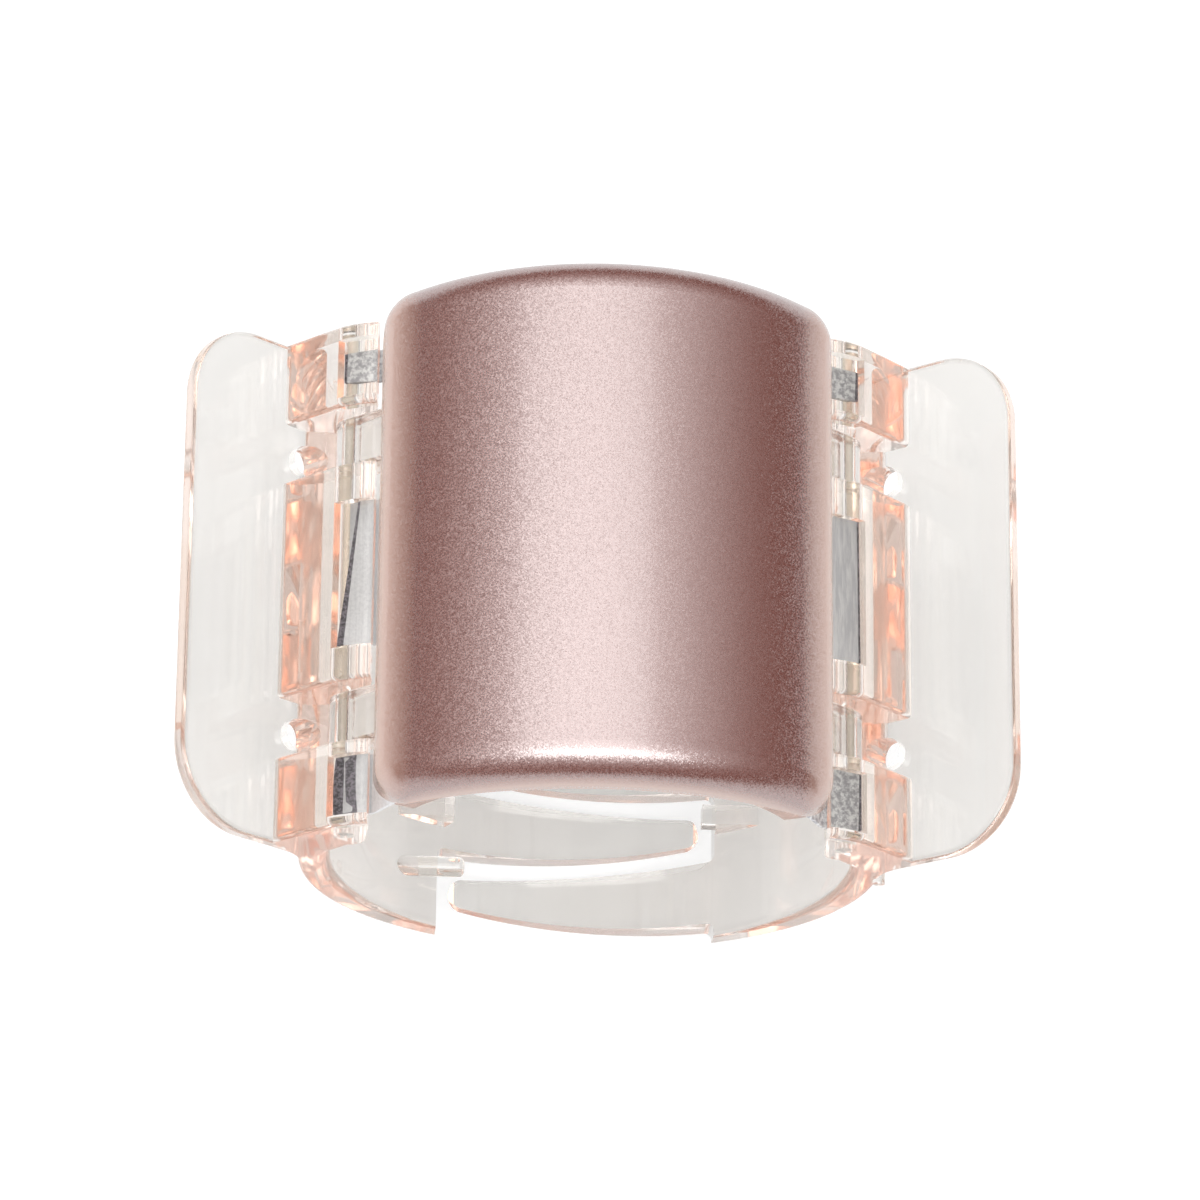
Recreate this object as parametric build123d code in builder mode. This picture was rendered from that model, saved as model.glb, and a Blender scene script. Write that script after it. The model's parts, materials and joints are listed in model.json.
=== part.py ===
from build123d import *
import os
from math import acos, asin, cos, degrees, radians, sin, sqrt

# A double-hinged claw hair clip that stands on its closed fingers.
# Lengths are in millimetres. X runs across the clip from wing to wing, Y along it
# from the near end to the far end, and Z up from the lowest point of the fingers.

# Overall sizes
jaw_length = 50.8
overrun = 1.0

# Ring that the closed jaws make round the hair
ring_radius = 27.9
ring_wall = 3.0

# Wings, the pads that the fingers squeeze
root_rise = 5.2
root_overhang = 2.5
wing_angle = 41.0
wing_length = 11.5
wing_thickness = 1.7
wing_corner = 8.0
wing_edge_radius = 0.5
ring_edge_radius = 1.0
blend_radius = 5.0
gap_floor_drop = 1.8
hole_radius = 1.5
hole_setback = 2.9

# Hinges
hinge_inset = 1.3
hinge_rise = 1.5
pin_radius = 0.8
pin_running_gap = 0.05
pin_seat_gap = 0.01
knuckle_wall = 1.0
pin_end_wall = 1.2
pin_end_gap = 0.2

# Hinge blocks on each jaw: one in the middle and one at each end
end_block_width = 8.4
gap_width = 6.0
lug_side_gap = 0.3
skin_angle = 46.0
skin_slope_length = 6.35
skin_radius = 8.0
skin_pin_overreach = 1.8
skin_wall = 1.1
skin_edge_radius = 0.5
end_pocket_wall = 1.2
middle_pocket_wall = 3.6
pocket_floor_gap = 0.15

# Claw fingers
finger_end_gap = 1.2
finger_root_width = 6.4
finger_tip_width = 3.0
finger_tip_thickness = 1.2
finger_bulge_width = 0.2
root_line = 13.8
tip_line = 12.5
slot_corner_radius = 0.8

# Small ribs and pegs inside the jaws
rib_reach = 12.3
rib_rise = 4.3
rib_thickness = 2.0
peg_end_gap = 5.4
peg_radius = 1.0
peg_rise = 3.3
peg_reach = 11.2
peg_nose_radius = 0.6
nub_radius = 0.6
nub_length = 0.35
nub_drop = 1.3

# Cover
cover_rise = 2.2
cover_step = 0.6
cover_overhang = 0.1
cover_side_gap = 2.2
cover_wall = 1.6
cover_skirt = 4.1
cover_bow = 0.35
cover_corner = 3.8
cover_edge_radius = 3.4

# Spring plate and bridge, nested under the cover
cover_lift = 2.8
spring_gauge = 0.4
spring_seat = 0.2
spring_angle = 56.0
bridge_wall = 2.2
bridge_angle = 60.0
bridge_end_gap = 1.4
lug_edge_radius = 0.5
tab_side_gap = 0.2
tab_bend_rise = 4.0
tab_bend_radius = 1.2
tab_overlap_angle = 2.0
tab_pin_overreach = 1.1
tab_skin_gap = 0.15

# Pegs that fasten the cover to the bridge
cover_peg_radius = 1.5
cover_peg_shoulder = 2.6
cover_peg_gap = 0.05
cover_peg_across = 9.0
cover_peg_end_gap = 9.0

# Heights and reaches worked out from those above
half_length = jaw_length / 2
ring_height = ring_radius
ring_bore = ring_radius - ring_wall
root_height = ring_height + root_rise
root_reach = ring_radius + root_overhang
hinge_reach = ring_bore - hinge_inset
hinge_height = root_height + hinge_rise
hinge = (hinge_reach, hinge_height)
bore_radius = pin_radius + pin_running_gap
seat_radius = pin_radius + pin_seat_gap
knuckle_radius = bore_radius + knuckle_wall
skin_reach = hinge_reach - skin_pin_overreach
tab_reach = hinge_reach + tab_pin_overreach

# Cover, spring and bridge, from the outside in
cover_length = jaw_length + 2 * cover_overhang
cover_width = 2 * (hinge_reach - cover_side_gap)
cover_radius = ring_radius - cover_step
cover_axis = ring_height + cover_rise
crown_height = cover_axis + cover_radius
spring_outer = cover_radius - cover_wall - cover_lift
spring_inner = spring_outer - spring_gauge
bridge_outer = spring_inner - spring_seat
bridge_inner = bridge_outer - bridge_wall
spring_middle = (spring_outer + spring_inner) / 2
tab_bend_angle = degrees(acos((hinge_height + tab_bend_rise - cover_axis) / spring_middle))
bridge_length = jaw_length - 2 * bridge_end_gap
cover_peg_along = bridge_length / 2 - cover_peg_end_gap

# Blocks, gaps and tabs along the clip
gap_place = half_length - end_block_width - gap_width / 2
middle_block_width = 2 * gap_place - gap_width
end_place = half_length - end_block_width / 2
block_places = [-end_place, 0, end_place]
block_widths = [end_block_width, middle_block_width, end_block_width]
end_tab_width = end_block_width - 2 * (end_pocket_wall + tab_side_gap)
middle_tab_width = middle_block_width - 2 * (middle_pocket_wall + tab_side_gap)
tab_widths = [end_tab_width, middle_tab_width, end_tab_width]

# Wings and their holes
wing_cos = cos(radians(wing_angle))
wing_sin = sin(radians(wing_angle))
corner_along = wing_length - wing_corner
corner_across = half_length - wing_corner
hole_cut = wing_thickness + blend_radius


def around(height, radius, angle):
    """Point in the cross-section on a circle centred over the middle, angle from straight up."""
    return (radius * sin(radians(angle)), height + radius * cos(radians(angle)))


def below(radius, reach):
    """Point on the lower half of a circle about the ring's axis, at a distance across the clip."""
    return (reach, ring_height - sqrt(radius**2 - reach**2))


def across(radius, height):
    """Distance across the clip of a circle about the ring's axis, at a height."""
    return sqrt(radius**2 - (ring_height - height) ** 2)


# The wing's top plane, measured along its slope from the wing's root
def on_wing(along, depth):
    across = root_reach + along * wing_cos + depth * wing_sin
    return (across, root_height + along * wing_sin - depth * wing_cos)


wing_plane = Plane(
    origin=(root_reach, 0, root_height),
    x_dir=(wing_cos, 0, wing_sin),
    z_dir=(-wing_sin, 0, wing_cos),
)

# The gap's floor, and where the wing's underside meets the ring
floor_height = root_height - gap_floor_drop
floor_inner = (across(ring_bore, floor_height), floor_height)
floor_outer = on_wing(-gap_floor_drop / wing_sin, 0)
under_tip = on_wing(wing_length, wing_thickness)
under_drop = under_tip[1] - ring_height
under_dot = under_tip[0] * wing_cos + under_drop * wing_sin
under_excess = under_tip[0] ** 2 + under_drop**2 - ring_radius**2
under_run = under_dot - sqrt(under_dot**2 - under_excess)
under_root = on_wing(wing_length - under_run, wing_thickness)
wing_middle_2d = on_wing(wing_length / 2, 0)
wing_middle = (wing_middle_2d[0], 0, wing_middle_2d[1])
under_middle_2d = on_wing(wing_length / 2, wing_thickness)
under_middle = (under_middle_2d[0], 0, under_middle_2d[1])

# The fingers' band, from the full wall at the root line to the thin tip
tip_share = 1 - finger_tip_thickness / ring_radius
root_share = ring_bore / ring_radius
tip_outer = below(ring_radius, -tip_line)
tip_inner = (tip_outer[0] * tip_share, ring_height + (tip_outer[1] - ring_height) * tip_share)
root_outer = below(ring_radius, root_line)
root_inner = (
    root_outer[0] * root_share,
    ring_height + (root_outer[1] - ring_height) * root_share,
)
tip_angle = 180 + degrees(asin(tip_line / ring_radius))
root_angle = 180 - degrees(asin(root_line / ring_radius))
band_radius = ring_radius - (ring_wall + finger_tip_thickness) / 2
band_middle = around(ring_height, band_radius, (tip_angle + root_angle) / 2)
wall_middle = around(ring_height, ring_bore, (root_angle + 90) / 2)
outer_middle = around(ring_height, ring_radius, (tip_angle + 90) / 2)

# Fingers, ribs and pegs: their rows along the clip and their places on the wall
finger_pitch = (half_length - finger_end_gap - finger_root_width / 2) / 3
right_rows = [-3 * finger_pitch, -finger_pitch, finger_pitch, 3 * finger_pitch]
left_rows = [-2 * finger_pitch, 0, 2 * finger_pitch]
wall_core_radius = ring_radius - ring_wall / 2
rib_height = root_inner[1] + rib_rise
rib_end = across(wall_core_radius, rib_height)
peg_height = root_inner[1] + peg_rise
peg_place = half_length - peg_end_gap
peg_root = across(wall_core_radius, peg_height)
slot_top = peg_height - peg_radius

# The blocks' outer skin: a slope up from the wing's root, then an arc that levels off
skin_cos = cos(radians(skin_angle))
skin_sin = sin(radians(skin_angle))
skin_top = (
    root_reach - skin_slope_length * skin_cos,
    root_height + skin_slope_length * skin_sin,
)
skin_centre = (skin_top[0] - skin_radius * skin_sin, skin_top[1] - skin_radius * skin_cos)
skin_end_angle = degrees(acos((skin_reach - skin_centre[0]) / skin_radius))
skin_middle_angle = (skin_end_angle + 90 - skin_angle) / 2


def on_skin(angle, depth):
    """Point on the arc of the blocks' skin, at a depth under its outer face."""
    radius = skin_radius - depth
    return (
        skin_centre[0] + radius * cos(radians(angle)),
        skin_centre[1] + radius * sin(radians(angle)),
    )


skin_end = on_skin(skin_end_angle, 0)
skin_end_under = on_skin(skin_end_angle, skin_wall)
tab_end = (
    tab_reach,
    root_height
    + ((root_reach - tab_reach) * skin_sin - skin_wall - tab_skin_gap - spring_gauge / 2) / skin_cos,
)
tab_bend = around(cover_axis, spring_middle, tab_bend_angle)


def rims_ring(edge):
    """Whether an edge is the ring's inner rim at an end of the clip."""
    at_end = abs(abs(edge.center().Y) - half_length) < 0.01
    return at_end and edge.geom_type == GeomType.CIRCLE and abs(edge.radius - ring_bore) < 0.01


def rims_skin(edge):
    """Whether an edge runs across the clip along the side of a block's skin."""
    from_top = min(abs(v.X - skin_top[0]) + abs(v.Z - skin_top[1]) for v in edge.vertices())
    return from_top < 0.01 and abs(edge.tangent_at(0).Y) < 0.5


# Cross-section of a jaw's wall, wing and finger band, on the right-hand side
def wall_section():
    with BuildSketch(Plane.XZ) as section:
        with BuildLine():
            Polyline(floor_inner, floor_outer, on_wing(wing_length, 0), under_tip, under_root)
            ThreePointArc(under_root, outer_middle, tip_outer)
            Line(tip_outer, tip_inner)
            ThreePointArc(tip_inner, band_middle, root_inner)
            ThreePointArc(root_inner, wall_middle, floor_inner)
        make_face()
        corner = section.vertices().sort_by_distance((under_root[0], under_root[1]))[0]
        fillet(corner, blend_radius)
    return section.sketch


# Cross-section of a hinge block with its knuckle round the pin
def block_section():
    with BuildSketch(Plane.XZ) as section:
        with BuildLine():
            Line((root_reach, root_height), skin_top)
            ThreePointArc(skin_top, on_skin(skin_middle_angle, 0), skin_end)
            Polyline(
                skin_end,
                skin_end_under,
                (hinge_reach - knuckle_radius, hinge_height),
                floor_inner,
                (root_reach, floor_height),
                (root_reach, root_height),
            )
        make_face()
        with Locations(hinge):
            Circle(knuckle_radius)
    return section.sketch


# Pocket under a block's skin, over the knuckle, where the spring's tab reaches in
def pocket_section():
    run = (tab_end[0] - tab_bend[0], tab_end[1] - tab_bend[1])
    run_length = sqrt(run[0] ** 2 + run[1] ** 2)
    along = (run[0] / run_length, run[1] / run_length)
    drop = spring_gauge / 2 + pocket_floor_gap
    floor_start = (tab_bend[0] + drop * along[1], tab_bend[1] - drop * along[0])
    floor_end = (
        tab_end[0] + drop * along[1] + pocket_floor_gap * along[0],
        tab_end[1] - drop * along[0] + pocket_floor_gap * along[1],
    )
    under_start = (skin_top[0] - skin_wall * skin_sin, skin_top[1] - skin_wall * skin_cos)
    with BuildSketch(Plane.XZ) as section:
        with BuildLine():
            Polyline(
                skin_end_under,
                (hinge_reach - knuckle_radius - overrun, skin_end_under[1]),
                (hinge_reach - knuckle_radius - overrun, floor_start[1]),
                floor_start,
                floor_end,
                under_start,
            )
            ThreePointArc(under_start, on_skin(skin_middle_angle, skin_wall), skin_end_under)
        make_face()
    return section.sketch


# Round pegs inside a jaw, just above its fingers
with BuildPart() as jaw_pegs:
    with BuildSketch(Plane.YZ.offset(peg_reach)):
        with Locations((-peg_place, peg_height), (peg_place, peg_height)):
            Circle(peg_radius)
    extrude(amount=peg_root - peg_reach)
    fillet(jaw_pegs.edges().group_by(Axis.X)[0], peg_nose_radius)


# Everything between and beyond the fingers, seen from above
def slot_outline(rows):
    tip_radius = finger_tip_width / 2
    bulge_reach = (root_line - tip_line) / 2
    bulge_width = (finger_root_width + finger_tip_width) / 4 + finger_bulge_width
    with BuildSketch() as outline:
        with Locations(((root_line - tip_line) / 2 - overrun, 0)):
            Rectangle(root_line + tip_line + 2 * overrun, jaw_length + 2 * overrun)
        for row in rows:
            with BuildLine():
                l1 = Line(
                    (root_line, row - finger_root_width / 2),
                    (root_line, row + finger_root_width / 2),
                )
                a1 = ThreePointArc(
                    l1 @ 1,
                    (bulge_reach, row + bulge_width),
                    (tip_radius - tip_line, row + tip_radius),
                )
                a2 = ThreePointArc(a1 @ 1, (-tip_line, row), (tip_radius - tip_line, row - tip_radius))
                ThreePointArc(a2 @ 1, (bulge_reach, row - bulge_width), l1 @ 0)
            make_face(mode=Mode.SUBTRACT)
        corners = outline.vertices().group_by(Axis.X)[-1]
        inside = corners.filter_by(lambda v: abs(v.Y) < half_length)
        fillet(inside, slot_corner_radius)
    return outline.sketch


# A claw jaw on the right-hand side, with its fingers in the given rows
def build_jaw(rows, with_pegs):
    wall = wall_section()
    block = block_section()
    pocket = pocket_section()
    slots = slot_outline(rows)
    with BuildPart() as jaw:
        extrude(wall, amount=half_length, both=True)
        for place, width in zip(block_places, block_widths):
            extrude(block.moved(Location((0, place, 0))), width / 2, both=True)
        for place, width in zip(block_places, tab_widths):
            placed = pocket.moved(Location((0, place, 0)))
            extrude(placed, width / 2 + tab_side_gap, both=True, mode=Mode.SUBTRACT)
        with BuildSketch(Plane.XZ.offset(-half_length - overrun)):
            with Locations(hinge):
                Circle(bore_radius)
        extrude(amount=jaw_length + overrun - pin_end_wall, mode=Mode.SUBTRACT)
        with BuildSketch(wing_plane):
            with Locations((-hole_setback, gap_place), (-hole_setback, -gap_place)):
                Circle(hole_radius)
        extrude(amount=hole_cut, both=True, mode=Mode.SUBTRACT)
        with BuildSketch(Plane.XZ) as rib:
            with BuildLine():
                Polyline(
                    (rib_reach, rib_height),
                    (rib_end, rib_height),
                    below(wall_core_radius, root_line),
                    (rib_reach, slot_top),
                    close=True,
                )
            make_face()
        for place in (-2 * finger_pitch, 2 * finger_pitch):
            extrude(rib.sketch.moved(Location((0, place, 0))), rib_thickness / 2, both=True)
        if with_pegs:
            add(jaw_pegs.part)
        extrude(slots, amount=slot_top, mode=Mode.SUBTRACT)
        with BuildSketch(wing_plane):
            for side in (-1, 1):
                with Locations((corner_along, side * corner_across)):
                    Rectangle(
                        wing_corner + overrun,
                        wing_corner + overrun,
                        align=(Align.MIN, Align.MAX if side < 0 else Align.MIN),
                    )
                    Circle(wing_corner, mode=Mode.SUBTRACT)
        extrude(amount=wing_thickness + overrun, both=True, mode=Mode.SUBTRACT)
        wing_top = jaw.faces().sort_by_distance(wing_middle)[0]
        fillet(wing_top.edges().group_by(Axis.X)[-1], wing_edge_radius)
        wing_under = jaw.faces().sort_by_distance(under_middle)[0]
        fillet(wing_under.edges().group_by(Axis.X)[-1], wing_edge_radius)
        fillet(jaw.edges().filter_by(rims_ring), ring_edge_radius)
        fillet(jaw.edges().filter_by(rims_skin), skin_edge_radius)
        if not with_pegs:
            with BuildSketch(Plane.XZ.offset(half_length + nub_length)):
                with Locations((ring_radius, ring_height - nub_drop)):
                    Circle(nub_radius)
            extrude(amount=-(wing_edge_radius + 2 * nub_length))
    return jaw.part


right_shape = build_jaw(right_rows, False)
left_shape = build_jaw(left_rows, True)

with BuildPart() as right_jaw:
    add(right_shape)

with BuildPart() as left_jaw:
    mirror(left_shape, about=Plane.YZ)


# Outer or inner body of the cover: an arched slab with rounded corners and top edges
def arched_slab(inset, depth):
    length = cover_length / 2 - inset
    width = cover_width / 2 - inset
    radius = cover_radius - inset
    with BuildPart() as slab:
        with BuildSketch() as outline:
            with BuildLine():
                a1 = ThreePointArc((-width, -length), (0, -length - cover_bow), (width, -length))
                l1 = Line(a1 @ 1, (width, length))
                a2 = ThreePointArc(l1 @ 1, (0, length + cover_bow), (-width, length))
                Line(a2 @ 1, a1 @ 0)
            make_face()
            fillet(outline.vertices(), cover_corner - inset)
        extrude(amount=crown_height)
        with BuildSketch(Plane.XZ):
            with BuildLine():
                a3 = ThreePointArc(
                    around(cover_axis, radius, -90),
                    around(cover_axis, radius, 0),
                    around(cover_axis, radius, 90),
                )
                Polyline(a3 @ 1, (radius, 0), (-radius, 0), a3 @ 0)
            make_face()
        extrude(amount=cover_length, both=True, mode=Mode.INTERSECT)
        top = slab.faces().filter_by(GeomType.CYLINDER).sort_by(Axis.Z)[-1]
        fillet(top.edges(), cover_edge_radius - inset)
        with BuildSketch(Plane.XZ):
            with BuildLine():
                a4 = ThreePointArc(
                    around(cover_axis - depth, cover_radius, -90),
                    around(cover_axis - depth, cover_radius, 0),
                    around(cover_axis - depth, cover_radius, 90),
                )
                Polyline(a4 @ 1, (cover_radius, 0), (-cover_radius, 0), a4 @ 0)
            make_face()
        extrude(amount=cover_length, both=True, mode=Mode.SUBTRACT)
    return slab.part


# The space between two radii about the cover's axis
def cover_layer(outer, inner):
    with BuildPart() as layer:
        with BuildSketch(Plane.XZ):
            with Locations((0, cover_axis)):
                Circle(outer)
                Circle(inner, mode=Mode.SUBTRACT)
        extrude(amount=cover_length, both=True)
    return layer.part


peg_places = [
    (-cover_peg_across, -cover_peg_along),
    (-cover_peg_across, cover_peg_along),
    (cover_peg_across, -cover_peg_along),
    (cover_peg_across, cover_peg_along),
]
outer_slab = arched_slab(0, cover_skirt)
inner_slab = arched_slab(cover_wall, cover_skirt + overrun)
peg_embedding = cover_wall / 2

# Pegs that reach through the spring into the bridge, and the shoulders that hold the spring
with BuildPart() as cover_pegs:
    with BuildSketch(Plane.XY.offset(cover_axis)):
        with Locations(peg_places):
            Circle(cover_peg_radius)
    extrude(amount=cover_radius)
    add(cover_layer(cover_radius - peg_embedding, bridge_inner), mode=Mode.INTERSECT)

with BuildPart() as peg_shoulders:
    with BuildSketch(Plane.XY.offset(cover_axis)):
        with Locations(peg_places):
            Circle(cover_peg_shoulder)
    extrude(amount=cover_radius)
    add(cover_layer(cover_radius - peg_embedding, spring_outer + spring_seat / 2), mode=Mode.INTERSECT)

with BuildPart() as cover:
    add(outer_slab)
    add(inner_slab, mode=Mode.SUBTRACT)
    add(cover_pegs.part)
    add(peg_shoulders.part)

def rims_lug(edge):
    """Whether an edge runs round a side of one of the bridge's lugs, and not round its bore."""
    aside = abs(abs(edge.center().Y) - gap_place)
    in_side = abs(aside - gap_width / 2 + lug_side_gap) < 0.01 and abs(edge.tangent_at(0).Y) < 0.5
    return in_side and (edge.geom_type != GeomType.CIRCLE or edge.radius > bore_radius)


# Lug of the bridge on the right-hand side, from the arch's end down round the pin
with BuildSketch(Plane.XZ) as right_lug:
    with BuildLine():
        Polyline(
            around(cover_axis, bridge_outer, bridge_angle),
            (hinge_reach + knuckle_radius * skin_sin, hinge_height + knuckle_radius * skin_cos),
            (hinge_reach - knuckle_radius * skin_cos, hinge_height - knuckle_radius * skin_sin),
            around(cover_axis, bridge_inner, bridge_angle),
            close=True,
        )
    make_face()
    with Locations(hinge):
        Circle(knuckle_radius)
        Circle(seat_radius, mode=Mode.SUBTRACT)

# Bridge: an arched backbone whose four lugs reach down to the pins
with BuildPart() as bridge:
    with BuildSketch(Plane.XZ) as arch:
        with BuildLine():
            a5 = ThreePointArc(
                around(cover_axis, bridge_outer, -bridge_angle),
                around(cover_axis, bridge_outer, 0),
                around(cover_axis, bridge_outer, bridge_angle),
            )
            a6 = ThreePointArc(
                around(cover_axis, bridge_inner, bridge_angle),
                around(cover_axis, bridge_inner, 0),
                around(cover_axis, bridge_inner, -bridge_angle),
            )
            Line(a5 @ 1, a6 @ 0)
            Line(a6 @ 1, a5 @ 0)
        make_face()
    extrude(amount=bridge_length / 2, both=True)
    for lug in (right_lug.sketch, right_lug.sketch.mirror(Plane.YZ)):
        for place in (-gap_place, gap_place):
            extrude(lug.moved(Location((0, place, 0))), gap_width / 2 - lug_side_gap, both=True)
    fillet(bridge.edges().filter_by(rims_lug), lug_edge_radius)
    with BuildSketch(Plane.XY.offset(cover_axis)):
        with Locations(peg_places):
            Circle(cover_peg_radius + cover_peg_gap)
    extrude(amount=cover_radius, mode=Mode.SUBTRACT)


# Tab of the spring: on round the arch, then out into a block's pocket
def tab_section():
    run = (tab_end[0] - tab_bend[0], tab_end[1] - tab_bend[1])
    run_length = sqrt(run[0] ** 2 + run[1] ** 2)
    normal = (-run[1] / run_length, run[0] / run_length)
    arch_normal = around(0, 1, tab_bend_angle)
    half_turn = acos(normal[0] * arch_normal[0] + normal[1] * arch_normal[1]) / 2
    mitre = spring_gauge / 2 / (2 * cos(half_turn) ** 2)
    bend = (mitre * (normal[0] + arch_normal[0]), mitre * (normal[1] + arch_normal[1]))
    half_gauge = (spring_gauge / 2 * normal[0], spring_gauge / 2 * normal[1])
    bend_outer = (tab_bend[0] + bend[0], tab_bend[1] + bend[1])
    bend_inner = (tab_bend[0] - bend[0], tab_bend[1] - bend[1])
    middle_angle = (spring_angle + tab_bend_angle) / 2
    with BuildSketch(Plane.XZ) as section:
        with BuildLine():
            a1 = ThreePointArc(
                around(cover_axis, spring_outer, spring_angle - tab_overlap_angle),
                around(cover_axis, spring_outer, middle_angle),
                bend_outer,
            )
            a2 = ThreePointArc(
                bend_inner,
                around(cover_axis, spring_inner, middle_angle),
                around(cover_axis, spring_inner, spring_angle - tab_overlap_angle),
            )
            Line(a2 @ 1, a1 @ 0)
            Polyline(
                bend_outer,
                (tab_end[0] + half_gauge[0], tab_end[1] + half_gauge[1]),
                (tab_end[0] - half_gauge[0], tab_end[1] - half_gauge[1]),
                bend_inner,
            )
        make_face()
        fillet(section.vertices().sort_by_distance(bend_outer)[0], tab_bend_radius)
        fillet(section.vertices().sort_by_distance(bend_inner)[0], tab_bend_radius + spring_gauge)
    return section.sketch


right_tab = tab_section()
left_tab = right_tab.mirror(Plane.YZ)

# Spring plate: one stamped and arched sheet of steel
with BuildPart() as spring_plate:
    with BuildSketch(Plane.XZ):
        with BuildLine():
            a8 = ThreePointArc(
                around(cover_axis, spring_outer, -spring_angle),
                around(cover_axis, spring_outer, 0),
                around(cover_axis, spring_outer, spring_angle),
            )
            a9 = ThreePointArc(
                around(cover_axis, spring_inner, spring_angle),
                around(cover_axis, spring_inner, 0),
                around(cover_axis, spring_inner, -spring_angle),
            )
            Line(a8 @ 1, a9 @ 0)
            Line(a9 @ 1, a8 @ 0)
        make_face()
    extrude(amount=bridge_length / 2, both=True)
    for tab in (right_tab, left_tab):
        for place, width in zip(block_places, tab_widths):
            extrude(tab.moved(Location((0, place, 0))), width / 2, both=True)
    with BuildSketch(Plane.XY.offset(cover_axis)):
        with Locations(peg_places):
            Circle(cover_peg_radius + spring_seat)
    extrude(amount=cover_radius, mode=Mode.SUBTRACT)


# A hinge pin, from the blind end of its bore to just inside the open end
def build_pin(side):
    pin_start = half_length - pin_end_wall - pin_end_gap
    pin_stop = half_length - pin_end_gap
    with BuildPart() as pin:
        with BuildSketch(Plane.XZ.offset(pin_start)):
            with Locations((side * hinge_reach, hinge_height)):
                Circle(pin_radius)
        extrude(amount=-(pin_start + pin_stop))
    return pin.part


with BuildPart() as left_hinge_pin:
    add(build_pin(-1))

with BuildPart() as right_hinge_pin:
    add(build_pin(1))

os.makedirs("parts", exist_ok=True)
cover.part.label = "cover"
export_step(cover.part, "parts/cover.step")
bridge.part.label = "bridge"
export_step(bridge.part, "parts/bridge.step")
spring_plate.part.label = "spring_plate"
export_step(spring_plate.part, "parts/spring_plate.step")
left_jaw.part.label = "left_jaw"
export_step(left_jaw.part, "parts/left_jaw.step")
right_jaw.part.label = "right_jaw"
export_step(right_jaw.part, "parts/right_jaw.step")
left_hinge_pin.part.label = "left_hinge_pin"
export_step(left_hinge_pin.part, "parts/left_hinge_pin.step")
right_hinge_pin.part.label = "right_hinge_pin"
export_step(right_hinge_pin.part, "parts/right_hinge_pin.step")
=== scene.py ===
import json
import bmesh
import bpy
from math import cos, radians, sin
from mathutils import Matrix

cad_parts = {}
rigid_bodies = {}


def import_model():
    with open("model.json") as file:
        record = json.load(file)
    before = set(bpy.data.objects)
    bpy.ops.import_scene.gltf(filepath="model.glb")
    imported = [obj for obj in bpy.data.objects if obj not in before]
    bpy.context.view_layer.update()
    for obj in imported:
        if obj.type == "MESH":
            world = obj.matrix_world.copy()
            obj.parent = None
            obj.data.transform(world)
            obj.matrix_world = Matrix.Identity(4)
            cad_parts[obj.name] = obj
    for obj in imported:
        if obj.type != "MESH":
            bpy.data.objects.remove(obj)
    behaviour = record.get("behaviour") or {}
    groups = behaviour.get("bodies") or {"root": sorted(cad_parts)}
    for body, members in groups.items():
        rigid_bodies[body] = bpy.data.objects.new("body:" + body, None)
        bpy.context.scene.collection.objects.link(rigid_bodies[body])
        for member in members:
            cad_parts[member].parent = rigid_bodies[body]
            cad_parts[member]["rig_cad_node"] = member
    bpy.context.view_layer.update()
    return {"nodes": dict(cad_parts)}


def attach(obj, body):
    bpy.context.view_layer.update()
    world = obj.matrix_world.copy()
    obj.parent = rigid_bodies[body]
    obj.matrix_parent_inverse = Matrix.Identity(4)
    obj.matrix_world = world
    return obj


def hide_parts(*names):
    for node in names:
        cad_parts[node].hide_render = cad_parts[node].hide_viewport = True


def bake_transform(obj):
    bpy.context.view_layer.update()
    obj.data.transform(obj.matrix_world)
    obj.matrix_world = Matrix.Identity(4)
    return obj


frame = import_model()
nodes = frame["nodes"]

# Camera.
# A long lens looks steeply down on the cover from the near end, as the photograph does.
bpy.ops.object.camera_add(
    location=(-0.03605, -0.191829, 0.556668),
    rotation=(radians(20.0354), radians(-4.1698), radians(0.5356)),
)
camera = bpy.context.object
camera.name = "camera"
camera.data.lens = 174.153
camera.data.clip_start = 0.01
bpy.context.scene.camera = camera

# Bridge.
# The arched backbone of the clip with its four hinge lugs, injection-moulded in clear
# plastic. Its skin keeps the faint waves of the flow in the mould.
flow = bpy.data.node_groups.new("moulding_flow", "ShaderNodeTree")
for socket_name, way, kind in (
    ("Vector", "INPUT", "NodeSocketVector"),
    ("Wave Scale", "INPUT", "NodeSocketFloat"),
    ("Wave Depth", "INPUT", "NodeSocketFloat"),
    ("Normal", "OUTPUT", "NodeSocketVector"),
    ("Haze", "OUTPUT", "NodeSocketFloat"),
):
    flow.interface.new_socket(socket_name, in_out=way, socket_type=kind)
flow_in = flow.nodes.new("NodeGroupInput")
flow_out = flow.nodes.new("NodeGroupOutput")
waves = flow.nodes.new("ShaderNodeTexNoise")
waves.inputs["Detail"].default_value = 1.5
waves.inputs["Distortion"].default_value = 0.6
flow.links.new(flow_in.outputs["Vector"], waves.inputs["Vector"])
flow.links.new(flow_in.outputs["Wave Scale"], waves.inputs["Scale"])
ripple = flow.nodes.new("ShaderNodeBump")
ripple.inputs["Distance"].default_value = 0.0004
flow.links.new(flow_in.outputs["Wave Depth"], ripple.inputs["Strength"])
flow.links.new(waves.outputs["Fac"], ripple.inputs["Height"])
flow.links.new(ripple.outputs["Normal"], flow_out.inputs["Normal"])
clouds = flow.nodes.new("ShaderNodeTexNoise")
clouds.inputs["Scale"].default_value = 160
clouds.inputs["Detail"].default_value = 3
flow.links.new(flow_in.outputs["Vector"], clouds.inputs["Vector"])
flow.links.new(clouds.outputs["Fac"], flow_out.inputs["Haze"])


def new_material(name):
    """Makes a material and returns it with its node tree and its shader."""
    material = bpy.data.materials.new(name)
    material.use_nodes = True
    return material, material.node_tree, material.node_tree.nodes["Principled BSDF"]


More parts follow.
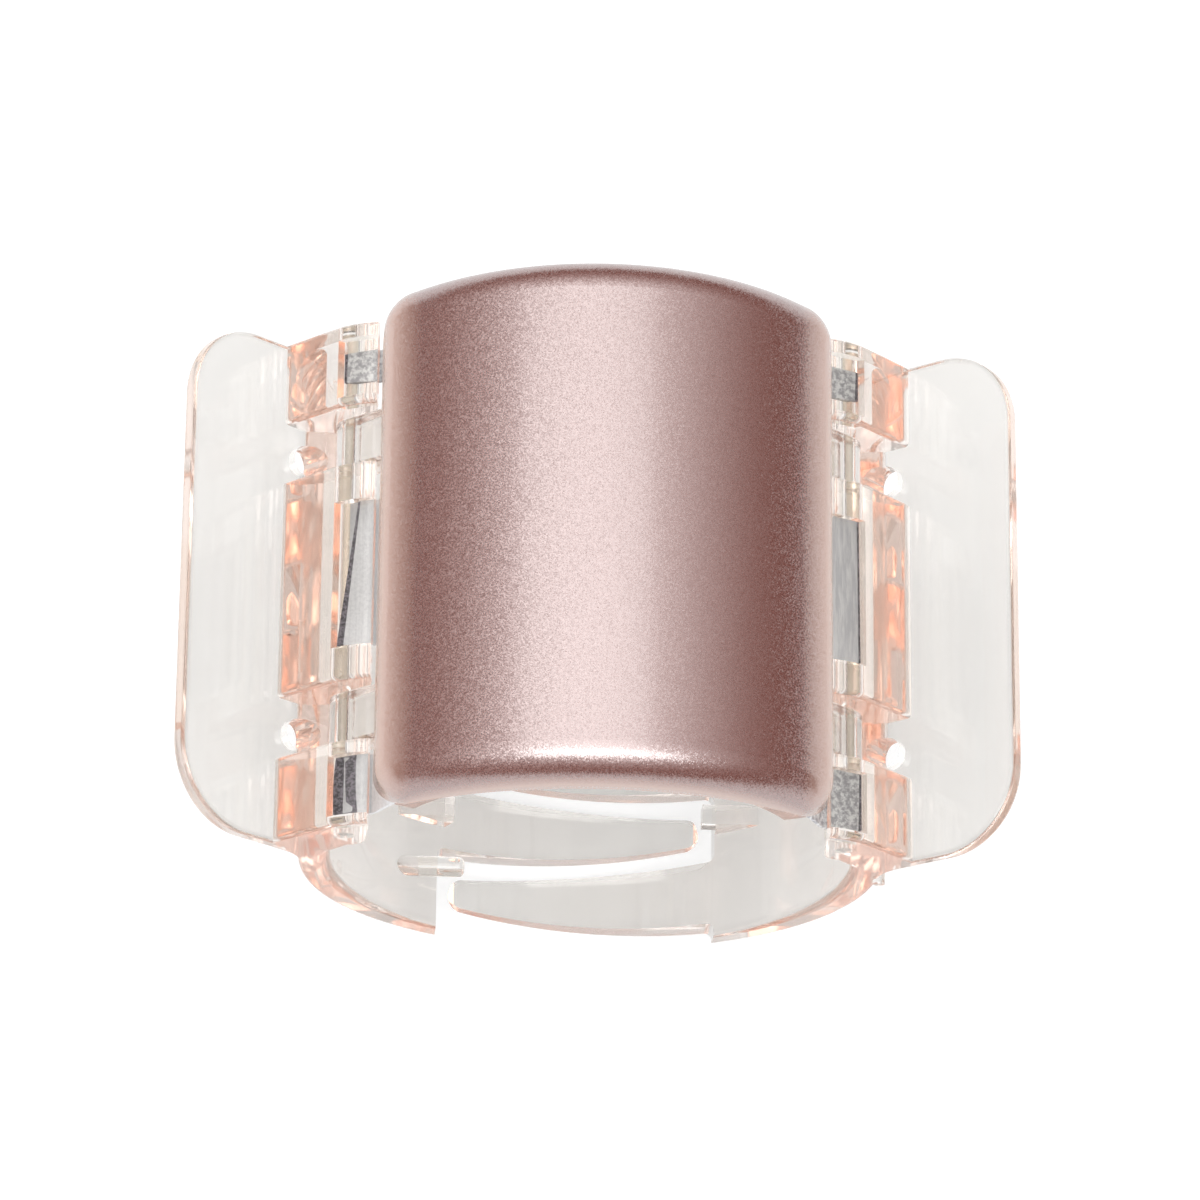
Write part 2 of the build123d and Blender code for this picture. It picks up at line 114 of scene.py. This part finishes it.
def feed(tree, socket, value):
    """Links another node's output to a socket, or sets the socket to a plain value."""
    if isinstance(value, bpy.types.NodeSocket):
        tree.links.new(value, socket)
    else:
        socket.default_value = value


def mix_colours(tree, factor, first, second):
    """Adds a mix of two colours and returns its output."""
    mix = tree.nodes.new("ShaderNodeMix")
    mix.data_type = "RGBA"
    feed(tree, mix.inputs["Factor"], factor)
    feed(tree, mix.inputs["A"], first)
    feed(tree, mix.inputs["B"], second)
    return mix.outputs["Result"]


def remap(tree, value, source=(0, 1), target=(0, 1)):
    """Adds a map from one range of numbers to another and returns its output."""
    ranges = tree.nodes.new("ShaderNodeMapRange")
    feed(tree, ranges.inputs["Value"], value)
    ranges.inputs["From Min"].default_value, ranges.inputs["From Max"].default_value = source
    ranges.inputs["To Min"].default_value, ranges.inputs["To Max"].default_value = target
    return ranges.outputs["Result"]


def clear_plastic(name, pale, deep, wave_scale, wave_depth, roughness):
    """A clear moulded plastic, whose tint and haze vary a little with the flow."""
    material, tree, surface = new_material(name)
    surface.inputs["Transmission Weight"].default_value = 1
    surface.inputs["IOR"].default_value = 1.49
    place = tree.nodes.new("ShaderNodeTexCoord")
    skin = tree.nodes.new("ShaderNodeGroup")
    skin.node_tree = flow
    skin.inputs["Wave Scale"].default_value = wave_scale
    skin.inputs["Wave Depth"].default_value = wave_depth
    tree.links.new(place.outputs["Object"], skin.inputs["Vector"])
    tree.links.new(skin.outputs["Normal"], surface.inputs["Normal"])
    haze = remap(tree, skin.outputs["Haze"], source=(0.3, 0.7), target=roughness)
    tree.links.new(haze, surface.inputs["Roughness"])
    tone = mix_colours(tree, skin.outputs["Haze"], pale, deep)
    tree.links.new(tone, surface.inputs["Base Color"])
    return material


def tint_depth(material, colour, density):
    """Gives a clear material the tint that light takes on its way through it."""
    tree = material.node_tree
    tint = tree.nodes.new("ShaderNodeVolumeAbsorption")
    tint.inputs["Color"].default_value = colour
    tint.inputs["Density"].default_value = density
    tree.links.new(tint.outputs["Volume"], tree.nodes["Material Output"].inputs["Volume"])


def finish_node(name, material):
    """Gives a CAD node one material in place of its plain one."""
    nodes[name].data.materials.clear()
    nodes[name].data.materials.append(material)


peach = (0.99, 0.66, 0.5, 1)
peach_density = 20
bridge_plastic = clear_plastic(
    "bridge_plastic",
    pale=(0.98, 0.975, 0.96, 1),
    deep=(0.955, 0.945, 0.925, 1),
    wave_scale=260,
    wave_depth=0.1,
    roughness=(0.08, 0.16),
)
tint_depth(bridge_plastic, peach, peach_density)
finish_node("bridge", bridge_plastic)

# Jaws.
# Each claw is one moulding: ring wall, wing, three hinge blocks and its fingers. The
# plastic is glossier than the bridge's, and as peach where light comes a long way through.
jaw_plastic = clear_plastic(
    "jaw_plastic",
    pale=(0.98, 0.975, 0.955, 1),
    deep=(0.955, 0.945, 0.92, 1),
    wave_scale=130,
    wave_depth=0.08,
    roughness=(0.03, 0.08),
)
tint_depth(jaw_plastic, peach, peach_density)
finish_node("left_jaw", jaw_plastic)
finish_node("right_jaw", jaw_plastic)

# Hinge pins.
# Two moulded rods of a tanner clear plastic, pushed through the blocks and lugs.
pin_plastic = clear_plastic(
    "pin_plastic",
    pale=(0.93, 0.87, 0.79, 1),
    deep=(0.89, 0.82, 0.73, 1),
    wave_scale=900,
    wave_depth=0.08,
    roughness=(0.2, 0.3),
)
finish_node("left_hinge_pin", pin_plastic)
finish_node("right_hinge_pin", pin_plastic)

# Spring arch.
# The middle of the spring plate: thin rolled steel sheet, arched over the bridge and held
# under the cover by the cover's pegs. Rolling leaves fine lines along the clip.
rolled_grain = (6000, 260, 6000)
dull_steel = (0.68, 0.68, 0.71, 1)
bright_steel = (0.95, 0.95, 0.97, 1)
spring_axis = 0.0301
spring_middle = 0.0227
arch_angle = 56
arch_weld = 0.000002


def stretched_noise(tree, place, stretch, detail, roughness=0.5):
    """Adds noise with its own scale along each axis and returns its strength."""
    mapping = tree.nodes.new("ShaderNodeMapping")
    mapping.inputs["Scale"].default_value = stretch
    tree.links.new(place, mapping.inputs["Vector"])
    noise = tree.nodes.new("ShaderNodeTexNoise")
    noise.inputs["Scale"].default_value = 1
    noise.inputs["Detail"].default_value = detail
    noise.inputs["Roughness"].default_value = roughness
    tree.links.new(mapping.outputs["Vector"], noise.inputs["Vector"])
    return noise.outputs["Fac"]


steel, tree, metal = new_material("rolled_steel")
metal.inputs["Metallic"].default_value = 1
place = tree.nodes.new("ShaderNodeTexCoord")
lines = stretched_noise(tree, place.outputs["Object"], rolled_grain, detail=3)
sheen = mix_colours(tree, lines, dull_steel, bright_steel)
tree.links.new(sheen, metal.inputs["Base Color"])
polish = remap(tree, lines, target=(0.22, 0.4))
tree.links.new(polish, metal.inputs["Roughness"])
scored = tree.nodes.new("ShaderNodeBump")
scored.inputs["Strength"].default_value = 0.25
scored.inputs["Distance"].default_value = 0.00002
tree.links.new(lines, scored.inputs["Height"])
tree.links.new(scored.outputs["Normal"], metal.inputs["Normal"])

bpy.ops.object.select_all(action="DESELECT")
arch = nodes["spring_plate"].copy()
arch.data = nodes["spring_plate"].data.copy()
arch.name = "spring_arch"
arch.parent = None
del arch["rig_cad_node"]
bpy.context.collection.objects.link(arch)
arch.select_set(True)
bpy.context.view_layer.objects.active = arch
bpy.ops.object.mode_set(mode="EDIT")
bpy.ops.mesh.select_all(action="SELECT")
bpy.ops.mesh.remove_doubles(threshold=arch_weld)
bpy.ops.mesh.select_all(action="SELECT")
bpy.ops.mesh.bisect(
    plane_co=(0, 0, spring_axis + spring_middle * cos(radians(arch_angle))),
    plane_no=(0, 0, 1),
    use_fill=True,
    clear_inner=True,
)
bpy.ops.object.mode_set(mode="OBJECT")
arch.data.materials.clear()
arch.data.materials.append(steel)
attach(arch, "frame")
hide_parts("spring_plate")


# Spring tabs.
# Three tongues a side are bent out from the arch into the pockets of the hinge blocks,
# where they press the jaw shut. The shears left them pitted; their turned-down ends are near
# black.
def pitted_steel(name, dark, light, share, grain, roughness, metallic):
    """The rolled steel again, part of it covered by the pits and specks of the shears."""
    material = steel.copy()
    material.name = name
    tree = material.node_tree
    surface = tree.nodes["Principled BSDF"]
    surface.inputs["Metallic"].default_value = metallic
    polish_range = tree.nodes["Map Range"]
    polish_range.inputs["To Min"].default_value = roughness[0]
    polish_range.inputs["To Max"].default_value = roughness[1]
    place = tree.nodes["Texture Coordinate"]
    pits = stretched_noise(tree, place.outputs["Object"], grain, detail=4, roughness=0.7)
    contrast = remap(tree, pits, source=(0.42, 0.58))
    grit = mix_colours(tree, contrast, dark, light)
    gritty = mix_colours(tree, share, tree.nodes["Mix"].outputs["Result"], grit)
    tree.links.new(gritty, surface.inputs["Base Color"])
    return material


fine_grain = (3400, 3400, 3400)
drawn_grain = (2400, 200, 2400)
coarse_grain = (2000, 2000, 2000)
plain_tab = pitted_steel(
    "plain_tab_steel",
    dark=(0.4, 0.38, 0.4, 1),
    light=(0.97, 0.96, 0.97, 1),
    share=0.15,
    grain=fine_grain,
    roughness=(0.25, 0.4),
    metallic=1,
)
brushed_tab = pitted_steel(
    "brushed_tab_steel",
    dark=(0.68, 0.68, 0.72, 1),
    light=(0.96, 0.96, 0.98, 1),
    share=0.7,
    grain=drawn_grain,
    roughness=(0.4, 0.6),
    metallic=0.7,
)
specked_tab = pitted_steel(
    "specked_tab_steel",
    dark=(0.27, 0.25, 0.28, 1),
    light=(1, 1, 1, 1),
    share=0.65,
    grain=coarse_grain,
    roughness=(0.3, 0.5),
    metallic=0.8,
)
near_black_lip = pitted_steel(
    "broken_end_steel",
    dark=(0.03, 0.022, 0.032, 1),
    light=(0.32, 0.28, 0.33, 1),
    share=0.95,
    grain=fine_grain,
    roughness=(0.3, 0.5),
    metallic=0.9,
)

# A tab's fold, seen along the clip: on round the arch, through the bend and out to the end.
fold_angles = (arch_angle, 60, 64, 67)
tab_bend = [(0.0215, 0.03839), (0.022, 0.03816)]
tab_end = (0.0238, 0.03732)
tab_fold = [
    (spring_middle * sin(radians(angle)), spring_axis + spring_middle * cos(radians(angle)))
    for angle in fold_angles
]
tab_fold += tab_bend + [tab_end]
tab_slope = 0.466
lip_slope = 0.52
strip_depth = 0.0001
cut_lines = (-0.3, -0.1, 0.1, 0.3)
cut_tolerance = 0.0001
lip_start = 0.00001
tab_weld = 0.00001
sheet_gauge = 0.0004
burr_width = 0.00006
burr_angle = 50
smooth_angle = 40


def between(lengths, share):
    """The length at a share of the way from the first of two lengths to the second."""
    return lengths[0] + (lengths[1] - lengths[0]) * share


def give_gauge(tab):
    """Gives a bent sheet its gauge, and the fine burr that shearing leaves on its edges."""
    sheet_metal = tab.modifiers.new("sheet", "SOLIDIFY")
    sheet_metal.thickness = sheet_gauge
    sheet_metal.offset = 0
    bpy.ops.object.modifier_apply(modifier="sheet")
    burr = tab.modifiers.new("burr", "BEVEL")
    burr.width = burr_width
    burr.segments = 2
    burr.limit_method = "ANGLE"
    burr.angle_limit = radians(burr_angle)
    bpy.ops.object.modifier_apply(modifier="burr")
    bpy.ops.object.shade_smooth_by_angle(angle=radians(smooth_angle))


def bend_tab(name, side, middle, width, face, reach, lip, bulge=0):
    """Bends one tab of sheet steel out of the arch, its end cut askew and turned down.

    The lengths reach, of the cut, and lip, of the turned-down end, are given for the near
    and the far corner, and bulge adds to the reach in the middle.
    """
    bpy.ops.object.select_all(action="DESELECT")
    bpy.ops.mesh.primitive_plane_add(size=1)
    tab = bpy.context.object
    tab.name = name
    bpy.ops.object.mode_set(mode="EDIT")
    bpy.ops.transform.resize(value=(strip_depth, width, 1))
    bpy.ops.transform.translate(value=(side * tab_fold[0][0], middle, tab_fold[0][1]))
    sheet = bmesh.from_edit_mesh(tab.data)
    inner = min(abs(vert.co.x) for vert in sheet.verts)
    for vert in sheet.verts:
        vert.select = abs(vert.co.x) > inner + strip_depth / 2
    sheet.select_flush(True)
    bmesh.update_edit_mesh(tab.data)
    for start, stop in zip(tab_fold, tab_fold[1:]):
        step = (side * (stop[0] - start[0]), 0, stop[1] - start[1])
        bpy.ops.mesh.extrude_edges_move(TRANSFORM_OT_translate={"value": step})
    for line in cut_lines:
        bpy.ops.mesh.select_all(action="SELECT")
        bpy.ops.mesh.bisect(plane_co=(0, middle + line * width, 0), plane_no=(0, 1, 0))
    bpy.ops.mesh.select_all(action="DESELECT")
    sheet = bmesh.from_edit_mesh(tab.data)
    outer = max(abs(vert.co.x) for vert in sheet.verts)
    for vert in sheet.verts:
        vert.select = abs(vert.co.x) > outer - cut_tolerance
        if vert.select:
            share = (vert.co.y - middle) / width + 0.5
            more = between(reach, share) + bulge * (1 - (2 * share - 1) ** 2)
            vert.co.x += side * more
            vert.co.z -= tab_slope * more
    sheet.select_flush(True)
    bmesh.update_edit_mesh(tab.data)
    bpy.ops.mesh.extrude_edges_move(TRANSFORM_OT_translate={"value": (side * lip_start, 0, 0)})
    sheet = bmesh.from_edit_mesh(tab.data)
    for vert in sheet.verts:
        if vert.select:
            share = (vert.co.y - middle) / width + 0.5
            turned = between(lip, share)
            vert.co.x += side * turned
            vert.co.z -= lip_slope * turned
            for part in vert.link_faces:
                part.material_index = 1
    bmesh.update_edit_mesh(tab.data)
    bpy.ops.mesh.select_all(action="SELECT")
    bpy.ops.mesh.remove_doubles(threshold=tab_weld)
    bpy.ops.mesh.normals_make_consistent(inside=False)
    bpy.ops.object.mode_set(mode="OBJECT")
    give_gauge(tab)
    tab.data.materials.append(face)
    tab.data.materials.append(near_black_lip)
    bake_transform(tab)
    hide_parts("spring_plate")


left, right = -1, 1
near, centre, far = -0.0212, 0, 0.0212
near_width, centre_width, far_width = 0.0056, 0.0144, 0.003
bend_tab(
    "left_tab_near", left, near, near_width, plain_tab,
    reach=(-0.0014, -0.0012), lip=(0.0021, 0.0018), bulge=0.0001,
)
bend_tab(
    "left_tab_middle", left, centre, centre_width, plain_tab,
    reach=(0.0002, -0.001), lip=(0.0006, 0.0002),
)
bend_tab(
    "left_tab_far", left, far, far_width, specked_tab,
    reach=(0.0005, 0.0004), lip=(0.0002, 0.0003),
)
bend_tab(
    "right_tab_near", right, near, near_width, specked_tab,
    reach=(0.0005, 0.0006), lip=(0.0003, 0.0002),
)
bend_tab(
    "right_tab_middle", right, centre, centre_width, brushed_tab,
    reach=(0.0006, 0.0005), lip=(0.0002, 0.0002),
)
bend_tab(
    "right_tab_far", right, far, far_width, specked_tab,
    reach=(0.0004, 0.0005), lip=(0.0003, 0.0002),
)

# Cover.
# A moulded shell, sprayed outside with a rose pearl lacquer whose fine pale flakes sparkle
# under a lamp. The turned-down rim gets a paler colour: a painted reflection of the floor.
rose = (0.175, 0.028, 0.012, 1)
pale_flake = (0.325, 0.155, 0.135, 1)
rim_painted_reflection = (0.6, 0.33, 0.24, 1)
flakes_per_metre = 10500
flake_lean = (0.3, 0.3, 0.3)
side_rim_start, side_rim_end = 0.018, 0.021
end_rim_start, end_rim_end = 0.0256, 0.0244


def calculate(tree, kind, operation, *values):
    """Adds one step of arithmetic, on numbers or on vectors, and returns its node."""
    step = tree.nodes.new(kind)
    step.operation = operation
    for socket, value in zip(step.inputs, values):
        feed(tree, socket, value)
    return step


def larger(tree, first, second):
    """Adds the larger of two numbers and returns its output."""
    return calculate(tree, "ShaderNodeMath", "MAXIMUM", first, second).outputs["Value"]


pearl, tree, paint = new_material("pearl_lacquer")
place = tree.nodes.new("ShaderNodeTexCoord")
flakes = tree.nodes.new("ShaderNodeTexVoronoi")
flakes.inputs["Scale"].default_value = flakes_per_metre
tree.links.new(place.outputs["Object"], flakes.inputs["Vector"])
flake_value = tree.nodes.new("ShaderNodeSeparateColor")
tree.links.new(flakes.outputs["Color"], flake_value.inputs["Color"])
flake_colour = mix_colours(tree, flake_value.outputs["Red"], rose, pale_flake)

# The rim is where the shell lies far out to a side, or close to the axis of its arch.
spot = tree.nodes.new("ShaderNodeSeparateXYZ")
tree.links.new(place.outputs["Object"], spot.inputs["Vector"])
across = calculate(tree, "ShaderNodeMath", "ABSOLUTE", spot.outputs["X"])
side_rim = remap(tree, across.outputs["Value"], source=(side_rim_start, side_rim_end))
from_axis = calculate(
    tree,
    "ShaderNodeVectorMath",
    "MULTIPLY_ADD",
    place.outputs["Object"],
    (1, 0, 1),
    (0, 0, -spring_axis),
)
radius = calculate(tree, "ShaderNodeVectorMath", "LENGTH", from_axis.outputs["Vector"])
end_rim = remap(tree, radius.outputs["Value"], source=(end_rim_start, end_rim_end))
rim = larger(tree, side_rim, end_rim)
# Painted reflection: the rim is coloured paler in place of the bright floor that it mirrors.
shell_colour = mix_colours(tree, rim, flake_colour, rim_painted_reflection)
tree.links.new(shell_colour, paint.inputs["Base Color"])

# Each flake leans its own way from the surface.
skin = tree.nodes.new("ShaderNodeNewGeometry")
centred = calculate(
    tree, "ShaderNodeVectorMath", "SUBTRACT", flakes.outputs["Color"], (0.5, 0.5, 0.5)
)
flake_tilt = calculate(
    tree,
    "ShaderNodeVectorMath",
    "MULTIPLY_ADD",
    centred.outputs["Vector"],
    flake_lean,
    skin.outputs["Normal"],
)
level = calculate(tree, "ShaderNodeVectorMath", "NORMALIZE", flake_tilt.outputs["Vector"])
tree.links.new(level.outputs["Vector"], paint.inputs["Normal"])
paint.inputs["Metallic"].default_value = 0.1
paint.inputs["Roughness"].default_value = 0.25
paint.inputs["IOR"].default_value = 2.55
paint.inputs["Coat Weight"].default_value = 1
paint.inputs["Coat Roughness"].default_value = 0.22
paint.inputs["Coat IOR"].default_value = 2.1
finish_node("cover", pearl)

# Floor.
# A wide white sweep under the clip. To the camera, to mirrors and through clear plastic it
# also glows, so that it stays white round the clip and keeps the clip's soft shadow.
floor_width = 4
floor_grey = (0.46, 0.46, 0.46, 1)
soft_glow, camera_glow = 0.48, 0.68


def mix_shaders(tree, factor, first, second):
    """Adds a mix of two shaders and returns its output."""
    mix = tree.nodes.new("ShaderNodeMixShader")
    for socket, output in zip(mix.inputs, (factor, first, second)):
        tree.links.new(output, socket)
    return mix.outputs["Shader"]


bpy.ops.object.select_all(action="DESELECT")
bpy.ops.mesh.primitive_plane_add(size=floor_width)
floor = bpy.context.object
floor.name = "floor"
white, tree, sweep = new_material("white_floor")
sweep.inputs["Base Color"].default_value = floor_grey
sweep.inputs["Roughness"].default_value = 0.9
ray = tree.nodes.new("ShaderNodeLightPath")
to_camera = ray.outputs["Is Camera Ray"]
glow = tree.nodes.new("ShaderNodeEmission")
brightness = remap(tree, to_camera, target=(soft_glow, camera_glow))
tree.links.new(brightness, glow.inputs["Strength"])
both = tree.nodes.new("ShaderNodeAddShader")
tree.links.new(sweep.outputs["BSDF"], both.inputs[0])
tree.links.new(glow.outputs["Emission"], both.inputs[1])
seen = larger(tree, to_camera, ray.outputs["Is Glossy Ray"])
seen_through = larger(tree, seen, ray.outputs["Is Transmission Ray"])
pick = mix_shaders(tree, seen_through, sweep.outputs["BSDF"], both.outputs["Shader"])
tree.links.new(pick, tree.nodes["Material Output"].inputs["Surface"])
white.cycles.emission_sampling = "NONE"
floor.data.materials.append(white)


# Studio.
# One softbox overhead and one in front, and round them a ceiling that darkens to the sides,
# so that the cover and the steel mirror a bright band and dark flanks.
def softbox(name, place, tilt, width, depth, energy):
    """Hangs one rectangular lamp over the clip, its tilt given in degrees."""
    bpy.ops.object.light_add(
        type="AREA", location=place, rotation=[radians(degrees) for degrees in tilt]
    )
    lamp = bpy.context.object
    lamp.name = name
    lamp.data.shape = "RECTANGLE"
    lamp.data.size = width
    lamp.data.size_y = depth
    lamp.data.energy = energy


softbox("overhead_softbox", (-0.1, 0.08, 0.75), (-6, -8, 0), width=0.7, depth=0.6, energy=1.4)
softbox("front_softbox", (0, -0.3, 0.75), (22, 0, 0), width=0.86, depth=0.28, energy=2.7)

brightest = (-0.1, 0, 0.995)
stops = [(0, 0.01), (0.2, 0.03), (0.38, 0.1), (0.62, 0.34), (0.8, 0.66), (0.93, 0.8), (1, 0.86)]
studio = bpy.data.worlds.new("studio")
bpy.context.scene.world = studio
studio.use_nodes = True
tree = studio.node_tree
ceiling = tree.nodes["Background"]
way = tree.nodes.new("ShaderNodeTexCoord")
nearness = calculate(
    tree, "ShaderNodeVectorMath", "DOT_PRODUCT", way.outputs["Generated"], brightest
)
fade = tree.nodes.new("ShaderNodeValToRGB")
while len(fade.color_ramp.elements) < len(stops):
    fade.color_ramp.elements.new(0.5)
for element, (position, grey) in zip(fade.color_ramp.elements, stops):
    element.position = position
    element.color = (grey, grey, grey, 1)
tree.links.new(nearness.outputs["Value"], fade.inputs["Fac"])
tree.links.new(fade.outputs["Color"], ceiling.inputs["Color"])
ceiling.inputs["Strength"].default_value = 1.7

# The camera sees plain white in place of the ceiling, and so does every ray that goes below
# the horizon. Clear plastic shows the two half and half.
height = tree.nodes.new("ShaderNodeSeparateXYZ")
tree.links.new(way.outputs["Generated"], height.inputs["Vector"])
low = remap(tree, height.outputs["Z"], source=(-0.12, -0.02), target=(1, 0))
backdrop = tree.nodes.new("ShaderNodeBackground")
backdrop.inputs["Color"].default_value = (1, 1, 1, 1)
ray = tree.nodes.new("ShaderNodeLightPath")
plain = larger(tree, ray.outputs["Is Camera Ray"], low)
half = calculate(tree, "ShaderNodeMath", "MULTIPLY", ray.outputs["Is Transmission Ray"], 0.5)
white_share = larger(tree, plain, half.outputs["Value"])
room = mix_shaders(
    tree, white_share, ceiling.outputs["Background"], backdrop.outputs["Background"]
)
tree.links.new(room, tree.nodes["World Output"].inputs["Surface"])

scene = bpy.context.scene
scene.view_settings.view_transform = "Standard"
scene.cycles.max_bounces = 40
scene.cycles.glossy_bounces = 32
scene.cycles.transmission_bounces = 32
